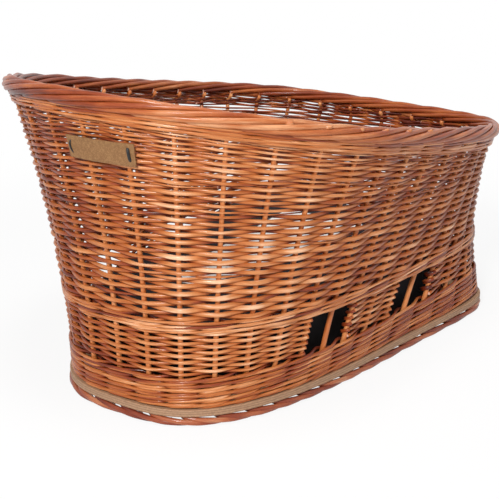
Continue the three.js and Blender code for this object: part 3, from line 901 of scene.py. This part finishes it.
# %% [markdown]
# Under the board the stakes' feet make a plainer border. Each foot comes out of its hole, bends
# outwards, and falls as it runs past the next stake, then tucks in below the others. Its colour is
# painted palest where it lies outermost, as painted light, and darker at both ends, where it runs in
# under the board, as painted shade. Between one foot and the next, a slit of daylight shows under the
# board.

# %% Foot border
FOOT_ROD = 2.5
# Stakes passed, distance in from the board's edge, and height
FOOT_RUN = [(0.0, 7.0, 8.9), (0.14, 4.4, 6.7), (0.5, 2.2, 5.9), (1.0, 1.4, 4.5), (1.5, 1.6, 3.1),
            (2.0, 3.2, 2.6), (2.4, 5.6, 2.55), (2.7, 7.4, 2.7)]
OUTERMOST = 1.1


def foot_rod(stake):
    times, insets, heights = np.transpose(FOOT_RUN)
    moments = np.concatenate([np.linspace(0, 0.4, 6), np.linspace(0.5, times[-1], 22)])
    share = foot_share(stake_share(stake + moments))
    inset = np.interp(moments, times, insets)
    plan = point_at(board_line, share) - outward_at(board_line, share) * inset[:, None]
    path = np.column_stack([plan, np.interp(moments, times, heights)])
    # Painted light where the foot lies outermost, and painted shade towards both ends, under the board
    tint = in_range(some_tint(0.16) + 0.1 - 0.3 * np.abs(moments - OUTERMOST))
    return {"path": path, "radius": FOOT_ROD * random.uniform(0.92, 1.02), "tint": tint}


lay_rods("foot_border_rods", [foot_rod(n) for n in range(STAKES)], foot_willow, "border_willow",
         "foot_border", bevel=3)

# %% [markdown]
# The base board is cut from a sheet: an outline with a hole for each stake. The outline's points and
# the circles are filled as one flat face with holes, the face is extruded by the board's thickness, and
# a small bevel rounds the outer edge as sandpaper does.

# %% Base board
BOARD_POINTS, HOLE_RADIUS, BOARD_BEVEL = 288, 2.7, 0.9


def round_edges(shape, edges, offset, segments=3, **settings):
    bmesh.ops.bevel(shape, geom=edges, offset=offset * MM, segments=segments, profile=0.5,
                    affect="EDGES", material=-1, **settings)


def sharp_edges(shape, angle=1.2):
    return [e for e in shape.edges if len(e.link_faces) == 2 and e.calc_face_angle() > angle]


def raise_face(shape, faces, height):
    """Extrudes faces upwards, and leaves the shape closed with its faces outwards"""
    extruded = bmesh.ops.extrude_face_region(shape, geom=faces)
    raised = [part for part in extruded["geom"] if isinstance(part, bmesh.types.BMVert)]
    bmesh.ops.translate(shape, verts=raised, vec=(0, 0, height * MM))
    bmesh.ops.recalc_face_normals(shape, faces=shape.faces)


def on_board_edge(edge):
    middle = (edge.verts[0].co.xy + edge.verts[1].co.xy) / 2
    return np.linalg.norm(board_line[0] * MM - np.array(middle), axis=1).min() < 1.5 * MM


def board_piece():
    shape = bmesh.new()
    edge_points = point_at(board_line, np.arange(BOARD_POINTS) / BOARD_POINTS) * MM
    corners = [shape.verts.new((x, y, BOARD_UNDERSIDE * MM)) for x, y in edge_points]
    for here, following in zip(corners, corners[1:] + corners[:1]):
        shape.edges.new((here, following))
    for hole in wall_point(stake_share(np.arange(STAKES)), BOARD_TOP) * MM:
        ring = bmesh.ops.create_circle(shape, segments=16, radius=HOLE_RADIUS * MM)["verts"]
        bmesh.ops.translate(shape, verts=ring, vec=(hole[0], hole[1], BOARD_UNDERSIDE * MM))
    bmesh.ops.triangle_fill(shape, use_beauty=True, use_dissolve=False, edges=shape.edges[:])
    raise_face(shape, shape.faces[:], BOARD_TOP - BOARD_UNDERSIDE)
    outer = [e for e in sharp_edges(shape) if on_board_edge(e)]
    round_edges(shape, outer, BOARD_BEVEL, clamp_overlap=True)
    return piece_from(shape, "base_board_plywood", plywood)


board = board_piece()
print("base board:", len(board.data.polygons), "faces")
finish_piece(board, "plywood", "base_board")

# %% [markdown]
# The patch is a flat strip that bends with the wall: a grid is laid out flat, given its thickness, and
# each of its points is carried onto the wall. Its rounded edge is a small bevel.

# %% Leather patch
PATCH_LONG, PATCH_HIGH, PATCH_THICK, PATCH_BEVEL = 68, 20, 1.8, 0.45
PATCH_SHARE, PATCH_STANDS_OUT = 0.0125, 5.7
PATCH_MIDDLE = float(rim_height(PATCH_SHARE)) - 43


def patch_point(along, up, out):
    """A place on the patch, from its middle: along it, up it, and out from its back"""
    share = np.array([PATCH_SHARE + along / rim_line[1][-1]])
    return wall_point(share, PATCH_MIDDLE + up, PATCH_STANDS_OUT + np.array([out]))[0]


def leather_patch():
    shape = bmesh.new()
    bmesh.ops.create_grid(shape, x_segments=24, y_segments=8, size=0.5)
    extruded = bmesh.ops.extrude_face_region(shape, geom=shape.faces[:])
    far = {part for part in extruded["geom"] if isinstance(part, bmesh.types.BMVert)}
    for vert in shape.verts:
        out = PATCH_THICK if vert in far else 0
        vert.co = Vector(patch_point(vert.co.x * PATCH_LONG, vert.co.y * PATCH_HIGH, out)) * MM
    bmesh.ops.recalc_face_normals(shape, faces=shape.faces)
    round_edges(shape, sharp_edges(shape, 1.0), PATCH_BEVEL, 2)
    piece = piece_from(shape, "leather_patch", leather)
    for polygon in piece.data.polygons:
        polygon.use_smooth = True
    return piece


patch = leather_patch()
print("leather patch:", len(patch.data.polygons), "faces")
finish_piece(patch, "label_leather", "label_patch")

# %% [markdown]
# Each stitch comes up through the patch near one of its ends, runs down its face and goes back in. The
# left one is bowed and thin, and the right one is thick and nearly straight.

# %% Stitches
LEFT_STITCH = [(-29, 6.2, -1), (-29.6, 5.4, 1.6), (-30.4, 2.5, 2.5), (-30.4, -1.5, 2.5),
               (-29.4, -5, 1.6), (-28.8, -6, -1)]
RIGHT_STITCH = [(28.2, 6.2, -1), (28.3, 5.4, 1.6), (28.6, 3, 2.5), (29.0, -2, 2.5),
                (29.2, -4.4, 1.6), (29.2, -5, -1)]
lay_rods("patch_stitches", [
    {"path": np.array([patch_point(*point) for point in points]), "radius": radius, "tint": 0.5}
    for points, radius in ((LEFT_STITCH, 0.75), (RIGHT_STITCH, 1.4))],
    thread, "label_leather", cut=None)

# %% [markdown]
# The cushion is a boxed pad: a foam block in a sewn cover, with a cord in the seam round its top. It
# starts as a block a little smaller than the space, is remeshed into even faces, and is blown up by a
# cloth simulation with a low pressure, so the sides pull in between their corners and the top crowns.

# %% Cushion's starting block
CUSHION_FOOT, CUSHION_TOP = 16.4, 86
CUSHION_INSET, CUSHION_ROUND_DEPTH, CUSHION_POWERS = 19, 246, (3.0, 4.0)
CUSHION_BEVEL, EVEN_FACE = 7, 6
cushion_line = plan_outline(BOARD_TIP + CUSHION_INSET, BOARD_LENGTH - 2 * CUSHION_INSET,
                            BOARD_WIDTH - 2 * CUSHION_INSET, CUSHION_ROUND_DEPTH, CUSHION_POWERS,
                            BOARD_TAPER)


def cushion_edge(count):
    return point_at(cushion_line, np.arange(count) / count)


def cushion_block():
    shape = bmesh.new()
    corners = [shape.verts.new((x, y, CUSHION_FOOT * MM)) for x, y in cushion_edge(96) * MM]
    raise_face(shape, [shape.faces.new(corners)], CUSHION_TOP - CUSHION_FOOT)
    round_edges(shape, sharp_edges(shape), CUSHION_BEVEL)
    return piece_from(shape, "cushion_pad")


def apply_modifiers(piece):
    graph = bpy.context.evaluated_depsgraph_get()
    mesh = bpy.data.meshes.new_from_object(piece.evaluated_get(graph))
    piece.modifiers.clear()
    piece.data = mesh


cushion = cushion_block()
remesh = cushion.modifiers.new("even_faces", "REMESH")
remesh.mode = "VOXEL"
remesh.voxel_size = EVEN_FACE * MM
apply_modifiers(cushion)
print("cushion block:", len(cushion.data.vertices), "points")

# %% [markdown]
# The simulation runs for 20 frames with no gravity. Left alone, it would blow the pad into the wall, so
# each point goes its own way by 5 mm at most.

# %% Blowing up the cushion
MOST_MOVE = 5 * MM
FRAMES = 20
CLOTH = {"quality": 6, "use_pressure": True, "uniform_pressure_force": 4, "tension_stiffness": 20,
         "compression_stiffness": 20}


def places_of(piece):
    return np.array([v.co for v in piece.data.vertices])


def blown_up(piece):
    rest = places_of(piece)
    cloth = piece.modifiers.new("cloth", "CLOTH")
    for name, value in CLOTH.items():
        setattr(cloth.settings, name, value)
    cloth.settings.effector_weights.gravity = 0
    cloth.point_cache.frame_start, cloth.point_cache.frame_end = 1, FRAMES
    for moment in range(1, FRAMES + 1):
        bpy.context.scene.frame_set(moment)
    apply_modifiers(piece)
    bpy.context.scene.frame_set(1)
    step = places_of(piece) - rest
    size = np.linalg.norm(step, axis=1, keepdims=True)
    final = rest + step * np.minimum(1, MOST_MOVE / np.maximum(size, 1e-9))
    final[:, 2] = np.maximum(final[:, 2], CUSHION_FOOT * MM)
    piece.data.vertices.foreach_set("co", final.ravel())
    print("cushion: largest move before the limit, in mm", round(float(size.max() / MM), 1))


blown_up(cushion)

# %% [markdown]
# One level of subdivision smooths the pad. The crown is then raised a little towards the middle, and
# the top is lifted and sunk by up to half a millimetre, so that it isn't dead flat. The points that lie
# far enough inside the seam get the fleece's pile, and the faces there get its material.

# %% Cushion's crown and cover
TOP_FROM, TOP_OVER = 72, 12
CROWN, CROWN_LONG, CROWN_WIDE = 5, 205, 130
LUMP, HIGHEST = 0.5, 92.5
FLEECE_INSET, FLEECE_EDGE = 82, 3

smooth = cushion.modifiers.new("smooth", "SUBSURF")
smooth.levels = smooth.render_levels = 1
apply_modifiers(cushion)
points = places_of(cushion)
x, y, z = points.T
high = np.clip((z / MM - TOP_FROM) / TOP_OVER, 0, 1)
middle_x = (x.max() + x.min()) / 2
out = np.hypot((x - middle_x) / (CROWN_LONG * MM), y / (CROWN_WIDE * MM))
z += high * CROWN * MM * np.clip(1 - out ** 2, 0, 1)
lumps = np.sin(x * 900 + 3 * np.sin(y * 420)) * np.sin(y * 870 + 3 * np.sin(x * 390))
z += high * LUMP * MM * lumps
points[:, 2] = np.minimum(z, HIGHEST * MM)
cushion.data.vertices.foreach_set("co", points.ravel())
cushion.data.update()

edge = KDTree(720)
for number, place in enumerate(cushion_edge(720) * MM):
    edge.insert((*place, 0), number)
edge.balance()
from_edge = np.array([edge.find((*place, 0))[2] for place in points[:, :2]]) / MM
pile = np.clip((from_edge - FLEECE_INSET) / FLEECE_EDGE, 0, 1) * (points[:, 2] > 60 * MM)
cushion.data.attributes.new("pile", "FLOAT", "POINT").data.foreach_set("value", pile)
cushion.data.materials.clear()
cushion.data.materials.append(nylon)
cushion.data.materials.append(fleece)
for polygon in cushion.data.polygons:
    polygon.use_smooth = True
    polygon.material_index = 1 if max(pile[list(polygon.vertices)]) > 0 else 0
finish_piece(cushion, "cushion_cloth", "cushion", body="cushion")
print("cushion:", len(cushion.data.polygons), "faces")

# %% [markdown]
# The cord in the seam is laid on the finished pad. Each of its points is the pad's nearest place to a
# line round its upper edge, so the cord follows whatever the simulation did.

# %% Cushion's seam cord
CORD_RADIUS, CORD_STANDS_OUT = 1.6, 0.6
pad_surface = BVHTree.FromPolygons([v.co for v in cushion.data.vertices],
                                   [p.vertices for p in cushion.data.polygons])


def seam_cord():
    path = []
    for x, y in cushion_edge(180):
        place, normal, face, gap = pad_surface.find_nearest(Vector((x, y, CUSHION_TOP - 2)) * MM)
        path.append(np.array(place + normal * CORD_STANDS_OUT * MM) / MM)
    return {"path": np.array(path), "radius": CORD_RADIUS, "tint": 0.5, "ring": True}


cord = make_rods("cushion_seam_cord", [seam_cord()], nylon)
finish_piece(cord, "cushion_cloth", body="cushion")

# %% [markdown]
# The set is a photographer's: a white floor that fills the frame, a small lamp high on the round end's
# side, which draws the bright line along each rod, a softer one overhead for the basket's inside, and a
# large weak fill in front. The floor is shown white to the camera, and keeps the soft shadow where the
# basket stands.

# %% Floor, lamps and world
FLOOR_GLOW = 0.88
GLOW_FROM, GLOW_TO = 0.4, 0.8
AMBIENT = 0.2
AIM = (0, 0, 0.15)
WHITE = (1, 1, 1, 1)


def seen_or_mirrored(tree):
    """1 for what the camera sees, straight or mirrored in a surface, and 0 for what only lights"""
    kind = add_node(tree, "LightPath").outputs
    either = maths(tree, "MAXIMUM", kind["Is Camera Ray"], kind["Is Glossy Ray"])
    return maths(tree, "MAXIMUM", either, kind["Is Transmission Ray"])


def soft_lamp(name, place, size, power):
    data = bpy.data.lights.new(name, "AREA")
    data.shape = "RECTANGLE"
    data.size = data.size_y = size
    data.energy = power
    lamp = link_piece(name, data)
    lamp.location = place
    lamp.rotation_euler = (Vector(AIM) - Vector(place)).to_track_quat("-Z", "Y").to_euler()


white_floor, tree, surface = new_material("white_floor", {
    "Base Color": linear("#f4f4f4"), "Roughness": 0.9, "Specular IOR Level": 0.1})
glow = add_node(tree, "Emission", {"Color": WHITE, "Strength": 1.0})
away = add_node(tree, "VectorMath", {0: object_place(tree)}, operation="LENGTH")
whiter = add_node(tree, "MapRange", {
    "Value": away.outputs["Value"], "From Min": GLOW_FROM, "From Max": GLOW_TO,
    "To Min": FLOOR_GLOW, "To Max": 1.0}, interpolation_type="SMOOTHSTEP")
shown = maths(tree, "MULTIPLY", seen_or_mirrored(tree), whiter.outputs["Result"])
blend = add_node(tree, "MixShader", {
    0: shown, 1: surface.outputs["BSDF"], 2: glow.outputs["Emission"]})
tree.links.new(blend.outputs["Shader"], tree.nodes["Material Output"].inputs["Surface"])
floor_shape = bmesh.new()
bmesh.ops.create_grid(floor_shape, x_segments=1, y_segments=1, size=6)
floor = piece_from(floor_shape, "floor", white_floor)

soft_lamp("key", (-2.0, -0.7, 1.6), 0.4, 49)
soft_lamp("overhead", (-0.3, -0.3, 2.2), 0.6, 20)
soft_lamp("fill", (0.6, -2.4, 1.2), 1.6, 4)

world = bpy.data.worlds.new("studio")
bpy.context.scene.world = world
world.use_nodes = True
tree = world.node_tree
ambient = tree.nodes["Background"]
ambient.inputs["Color"].default_value = WHITE
ambient.inputs["Strength"].default_value = AMBIENT
white = add_node(tree, "Background", {"Color": WHITE, "Strength": 1.0})
chosen = add_node(tree, "MixShader", {
    0: seen_or_mirrored(tree), 1: ambient.outputs["Background"], 2: white.outputs["Background"]})
tree.links.new(chosen.outputs["Shader"], tree.nodes["World Output"].inputs["Surface"])
bpy.context.scene.view_settings.view_transform = "Standard"
print("lamps:", [lamp.name for lamp in bpy.data.lights])
